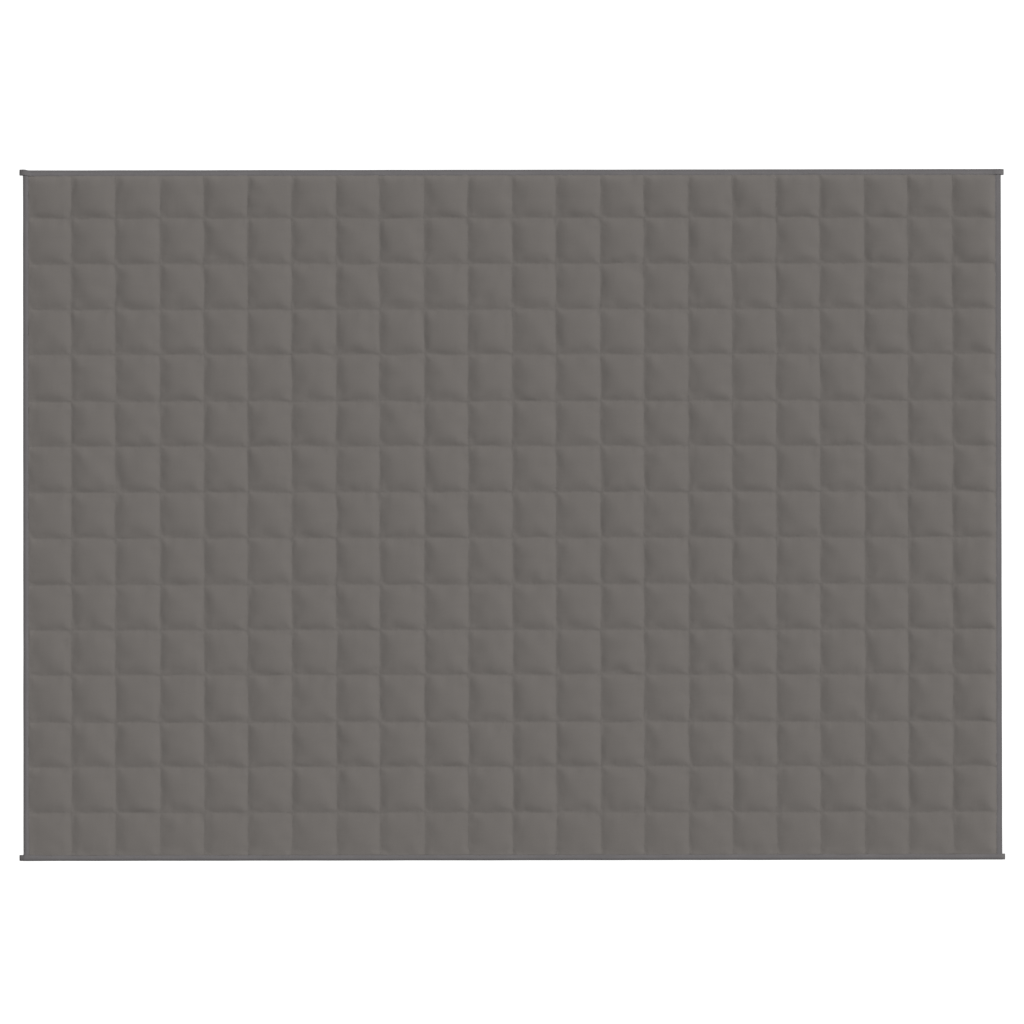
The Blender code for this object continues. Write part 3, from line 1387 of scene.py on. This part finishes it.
@dataclass
class BindingTape:
    """A strip of tape folded over one edge of the body and sewn down on both sides.

    top, top_at_corner, top_at_tab, top_at_tip: height of the tape over the cloth, over a side
    tape's end, at the tab and at its closed end.
    tab_end, tab_start, corner_start, corner_lap, corner_slope: where those are, from the
    outer line of the neighbouring edge, or for the last two from its tape's width.
    end_rise, end_squeeze: how far a side tape's end stands up, and is pressed flat.
    bulge, bulge_length, bulge_flat: how far the first end stands out, and how it eases off.
    leg_stations_mm: lines across a leg, in millimetres from the outer line.
    """

    edge: Edge
    width: float = 13.0 * MM
    thickness: float = 0.9 * MM
    fold_depth: float = 8.0 * MM
    fold_depth_under: float = 3.0 * MM
    fold_steps: int = 12
    leg_stations_mm: tuple[float, ...] = (13.0, 12.4, 11.8, 11.3, 10.8, 10.2, 9.4)
    step: float = 3.5 * MM
    top: float = 5.6 * MM
    top_at_corner: float = 6.8 * MM
    top_at_tab: float = 3.8 * MM
    top_at_tip: float = 2.4 * MM
    tip_length: float = 2.0 * MM
    tab_end: float = -9 * MM
    tab_start: float = -3.5 * MM
    corner_start: float = 1.0 * MM
    corner_lap: float = 0.5 * MM
    corner_slope: float = 4.0 * MM
    end_rise: float = 1.0 * MM
    end_rise_lap: float = 1 * MM
    end_squeeze: float = 2.0 * MM
    end_squeeze_length: float = 6.0 * MM
    bulge: float = 0.0
    bulge_length: float = 21.0 * MM
    bulge_flat: float = 0.45
    edge_stray: float = 0.20 * MM
    edge_stray_length: float = 90 * MM
    fold_stray: float = 0.07 * MM
    fold_stray_length: float = 170 * MM
    ripple_height: float = 0.16 * MM
    ripple_lengths: tuple[float, float] = (10 * MM, 40 * MM)
    wide_ripple: float = 0.6
    swell: float = 0.15 * MM
    dip: float = 0.28 * MM
    dip_reach: float = 1.6 * MM
    calm_end: float = 12 * MM
    sewn_at: float = 11.3 * MM
    sewing_margin: float = 1.5 * MM
    sewing: Stitching = Stitching(3.2 * MM, length=2.8 * MM, thickness=0.5 * MM, stray=0.05 * MM)

    def __post_init__(self) -> None:
        """Find where the tape runs from its solid, and the first seed of its unevenness."""
        low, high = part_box(self.edge.value)
        along = 0 if self.edge.runs_along_x else 1
        across = 1 - along
        self.start, self.end = low[along], high[along]
        self.outer = high[across] - self.bulge if self.edge.outward > 0 else low[across]
        self.legs = MM * np.array(self.leg_stations_mm)
        self.last_line = 2 * len(self.legs) + self.fold_steps - 2
        self.seed = Seed.TAPES + 10 * list(Edge).index(self.edge)

    def build(self) -> list[Piece]:
        """Fold the strip, sew it down and tell the frame about both.

        Returns:
            The finished tape and its sewing.
        """
        length = self.end - self.start
        count = round(length / self.step)
        strip, station, line = add_grid(f"{self.edge.value}_tape", count, self.last_line)
        along = self.start + length * station / count
        flat = self._flat_places()[line]
        self._map(strip, along - self.start, flat)
        set_points(strip, self._placed(along, *self._fold(along, line)))
        solid = strip.modifiers.new("thickness", "SOLIDIFY")
        solid.thickness = self.thickness
        solid.offset = 0.0
        solid.use_even_offset = True
        bpy.ops.object.modifier_apply(modifier="thickness")
        face_outwards(strip)
        strip.data.materials.clear()
        strip.data.materials.append(BindingCloth().make())
        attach(strip, BODY)
        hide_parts(self.edge.value)
        sewing = self._sew()
        flat_width = float(flat.max() - flat.min())
        self.end - self.start
        LOG.info("%s: cut %.1f mm x %.1f mm", strip.name, flat_width / MM, length / MM)
        return [strip, sewing]

    def _placed(self, along: Array, inward: Array, height: Array) -> Array:
        """Points of the blanket, x, y, z, from places along and across the tape."""
        places = (along, self._beside(inward))
        return np.column_stack([*(places if self.edge.runs_along_x else places[::-1]), height])

    def _beside(self, inward: Array) -> Array:
        """Places across the tape from ways inwards from its outer line."""
        return self.outer - self.edge.outward * inward

    def _sides(self) -> tuple[float, float]:
        """Outer lines of the two side tapes."""
        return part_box(Edge.LEFT.value)[0].x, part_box(Edge.RIGHT.value)[1].x

    def _from_ends(self, along: Array) -> Array:
        """Way of each place from the tape's nearer end."""
        return np.minimum(along - self.start, self.end - along)

    def _upper_top(self, along: Array) -> Array:
        """Height of the upper leg's outer face along the tape.

        Args:
            along: places along it.

        Returns:
            The height at each of them.
        """
        tip = self._from_ends(along)
        if not self.edge.runs_along_x:
            squeezed = eased(tip, (0.0, self.end_squeeze_length), (1.0, 0.0))
            return self.top - self.end_squeeze * squeezed
        low, high = self._sides()
        stations = (self.tab_end, self.tab_start, self.corner_start)
        stations += (self.width + self.corner_lap, self.width + self.corner_slope)
        values = (self.top_at_tab,) * 2 + (self.top_at_corner,) * 2 + (self.top,)
        top = eased(np.where(along < 0, along - low, high - along), stations, values)
        closed = 1.0 - eased(tip, (0.0, self.tip_length), (0.0, 1.0))
        return top - (self.top_at_tab - self.top_at_tip) * closed

    def _lower_rise(self, along: Array) -> Array:
        """How far the lower leg of a side tape stands up where it lies on the long tapes.

        Args:
            along: places along the tape.

        Returns:
            Its rise at each of them.
        """
        if self.edge.runs_along_x:
            return np.zeros_like(along)
        start = self.width + self.end_rise_lap
        stations = (start, start + self.corner_slope)
        return eased(self._from_ends(along), stations, (self.end_rise, 0.0))

    def _on_upper(self, line: Array) -> Array:
        """Whether lines across the strip are on its upper leg."""
        return line > self.last_line - len(self.legs)

    def _section(self, line: Array, top: Numbers, bottom: Numbers) -> tuple[Array, Array]:
        """The strip's folded section.

        Args:
            line: numbers of lines across the strip, from the lower leg's inner edge.
            top: height of the upper leg's middle.
            bottom: height of the lower leg's middle.

        Returns:
            Way inwards from the outer line, and height, of each line.
        """
        legs = len(self.legs)
        on_upper = self._on_upper(line)
        on_fold = ~((line < legs) | on_upper)
        leg = self.legs[np.where(on_upper, self.last_line - line, np.minimum(line, legs - 1))]
        turn = (line - (legs - 1)) / self.fold_steps * math.pi - math.pi / 2.0
        depth = np.where(turn > 0.0, self.fold_depth, self.fold_depth_under)
        inward = np.where(on_fold, self.thickness / 2.0 + depth * (1.0 - np.cos(turn)), leg)
        folded = (top + bottom) / 2.0 + (top - bottom) / 2.0 * np.sin(turn)
        return inward, np.where(on_fold, folded, np.where(on_upper, top, bottom))

    def _fold(self, along: Array, line: Array) -> tuple[Array, Array]:
        """Fold the flat strip over the edge.

        Args:
            along: place of each point along the tape.
            line: number of its line across the strip.

        Returns:
            Way inwards from the outer line, and height.
        """
        half = self.thickness / 2.0
        top, bottom = self._upper_top(along) - half, self._lower_rise(along) + half
        leg, height = self._section(line, top, bottom)
        on_upper = self._on_upper(line)
        edge_way = np.clip(leg / self.width, 0.0, 1.0)
        edge = np.where(on_upper, *(self._stray(side, along) for side in Side))
        fold = self.fold_stray * Ripple(self.fold_stray_length, self.seed + 2).along(along)
        inward = leg + edge_way * edge + (1.0 - edge_way) * fold - self._bulged(along)
        return inward, height + np.where(on_upper, 1.0, 0.0) * self._unevenness(along, leg)

    def _flat_places(self) -> Array:
        """Place of each line across the strip before it was folded.

        Returns:
            Places from the fold's outer line.
        """
        half = self.thickness / 2.0
        inward, height = self._section(np.arange(self.last_line + 1), self.top - half, half)
        place = np.concatenate([[0.0], np.cumsum(np.hypot(np.diff(inward), np.diff(height)))])
        return place - place[len(place) // 2]

    def _stray(self, side: Side, along: Array) -> Array:
        """How far the inner edge of one leg strays sideways along the tape."""
        seed = self.seed + list(Side).index(side)
        return self.edge_stray * Ripple(self.edge_stray_length, seed).along(along)

    def _bulged(self, along: Array) -> Array:
        """How far the tape's first end stands out, easing off along it."""
        stations = (0.0, self.bulge_flat * self.bulge_length, self.bulge_length)
        return eased(along - self.start, stations, (self.bulge, self.bulge, 0.0))

    def _unevenness(self, along: Array, leg: Numbers) -> Array:
        """Ripples of the upper leg, and its dip along the sewing.

        Args:
            along: places along the tape.
            leg: ways inwards from its outer line.

        Returns:
            What is added to the height.
        """
        free = 1.0 - np.exp(-(((leg - self.sewn_at) / self.dip_reach) ** 2))
        wide = np.sin(np.clip(leg / self.sewn_at, 0.0, 1.0) * math.pi)
        close, slow = (
            Ripple(length, self.seed + number).along(along)
            for number, length in enumerate(self.ripple_lengths, start=3)
        )
        inside = np.clip(self._from_ends(along) / self.calm_end, 0.0, 1.0)
        ripple = self.ripple_height * (close + self.wide_ripple * slow) * wide
        return (ripple + self.dip * (free - 1.0) + self.swell * wide) * inside

    def _map(self, strip: Piece, along: Array, flat: Array) -> None:
        """Give the strip a map with its place along and across, in metres.

        Args:
            strip: the strip.
            along: place of each point along it.
            flat: its place across.
        """
        uv_map = strip.data.uv_layers.active or strip.data.uv_layers.new()
        uv_map.name = "tape_map"
        corners = np.empty(len(strip.data.loops), dtype=np.int32)
        strip.data.loops.foreach_get("vertex_index", corners)
        places = np.column_stack([along[corners], flat[corners]])
        uv_map.data.foreach_set("uv", places.astype(np.float32).ravel())

    def _sew(self) -> Piece:
        """Sew the tape down on both sides.

        Returns:
            The sewing.
        """
        start, end = self.start + self.sewing_margin, self.end - self.sewing_margin
        along_x = self.edge.runs_along_x
        rows = [self.sewing.row("sewing", start, end, along_x, self._line(side)) for side in Side]
        return self.sewing.finish(f"{self.edge.value}_stitches", rows, "binding_tape")

    def _line(self, side: Side) -> SewnLine:
        """The line of sewing on one side of the tape.

        Args:
            side: side of the tape.

        Returns:
            The line.
        """

        def line(along: Array) -> tuple[Array, Array]:
            """Where the sewing runs on the tape.

            Args:
                along: places along it.

            Returns:
                Its place beside the axis, and its height, at each of them.
            """
            inward = self.sewn_at + self._stray(side, along) * self.sewn_at / self.width
            if side is Side.UNDER:
                return self._beside(inward), self._lower_rise(along)
            height = self._upper_top(along) + self._unevenness(along, self.sewn_at)
            return self._beside(inward), height

        return line


# ---- Studio ----


@dataclass(frozen=True)
class Studio:
    """White floor, one soft key light with a little light all round, and the camera above."""

    picture_width: float = 1024.0
    outline_centre_pixel: tuple[float, float] = (512.4, 514.8)
    metres_per_pixel: float = 2.25 * MM
    lens: float = 85.0
    sensor: float = 36.0
    roll: float = math.radians(0.085)
    pitch: float = math.radians(0.21)
    camera_reach: float = 1000.0
    floor_size: float = 300.0
    floor_height: float = -0.2 * MM
    key_place: Triple = (2.0, 1.5, 3.0)
    key_around: float = math.radians(32.0)
    key_from_above: float = math.radians(35.0)
    key_strength: float = 3.068
    key_softness: float = math.radians(20.0)
    light_all_round: float = 0.2

    def build(self, outline_centre: tuple[float, float]) -> None:
        """Add the floor, the light and the camera.

        Args:
            outline_centre: x and y of the middle of the blanket's outline.
        """
        self._add_floor()
        self._add_light()
        self._add_camera(outline_centre)
        bpy.context.scene.view_settings.view_transform = "Standard"

    def _add_floor(self) -> None:
        """Add the floor just under the blanket."""
        deselect_all()
        place = (0.0, 0.0, self.floor_height)
        bpy.ops.mesh.primitive_plane_add(size=self.floor_size, location=place)
        floor = bpy.context.active_object
        floor.name = "floor"
        floor.visible_diffuse = False
        floor.visible_glossy = False
        floor.data.materials.append(PaleFloor().make())
        floor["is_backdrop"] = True

    def _add_light(self) -> None:
        """Add the key light and the even light of the room."""
        turn = Euler((0.0, self.key_from_above, self.key_around))
        bpy.ops.object.light_add(type="SUN", location=self.key_place, rotation=turn)
        key = bpy.context.active_object
        key.name = "key_light"
        key.data.energy = self.key_strength
        key.data.angle = self.key_softness
        world = bpy.data.worlds.new("room")
        world.use_nodes = True
        background = world.node_tree.nodes["Background"]
        background.inputs["Color"].default_value = (1.0, 1.0, 1.0, 1.0)
        background.inputs["Strength"].default_value = self.light_all_round
        bpy.context.scene.world = world

    def _add_camera(self, outline_centre: tuple[float, float]) -> None:
        """Add the camera, which looks down, and make it the scene's own.

        Args:
            outline_centre: x and y of the middle of the blanket's outline.
        """
        middle = self.picture_width / 2.0
        off_x = (middle - self.outline_centre_pixel[0]) * self.metres_per_pixel
        off_y = (self.outline_centre_pixel[1] - middle) * self.metres_per_pixel
        distance = self.picture_width * self.metres_per_pixel * self.lens / self.sensor
        turn = Euler((self.pitch, 0.0, -self.roll))
        aim = Vector((outline_centre[0] + off_x, outline_centre[1] + off_y, 0.0))
        place = aim + turn.to_matrix() @ Vector((0.0, 0.0, distance))
        bpy.ops.object.camera_add(location=place, rotation=turn)
        camera = bpy.context.active_object
        camera.name = "camera"
        camera.data.lens = self.lens
        camera.data.sensor_width = self.sensor
        camera.data.clip_end = self.camera_reach
        bpy.context.scene.camera = camera


def write_sizes() -> None:
    """Read the boxes of the solids and of the finished pieces as lists of corners."""
    boxes = {"cad": CAD_BOX, "visual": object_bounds()}
    lists = {name: [list(corner) for corner in box] for name, box in boxes.items()}


def main() -> None:
    """Build the blanket's pieces in order and report each, then build the studio."""
    logging.basicConfig(level=logging.INFO, format="%(message)s")
    plan = SeamPlan.from_frame()
    LOG.info("%d vertical seams, %d level seams", len(plan.column_seams), len(plan.row_seams))
    assemblies = (
        QuiltedBody(plan),
        Quilting(plan),
        BindingTape(Edge.LEFT),
        BindingTape(Edge.RIGHT),
        BindingTape(Edge.BOTTOM, top=6.8 * MM, dip=0.1 * MM),
        BindingTape(Edge.TOP, bulge=2.0 * MM, dip=0.08 * MM),
    )
    for assembly in assemblies:
        for piece in assembly.build():
            report_piece(piece)
    Studio().build(plan.centre())
    write_sizes()


if __name__ == "__main__":
    main()
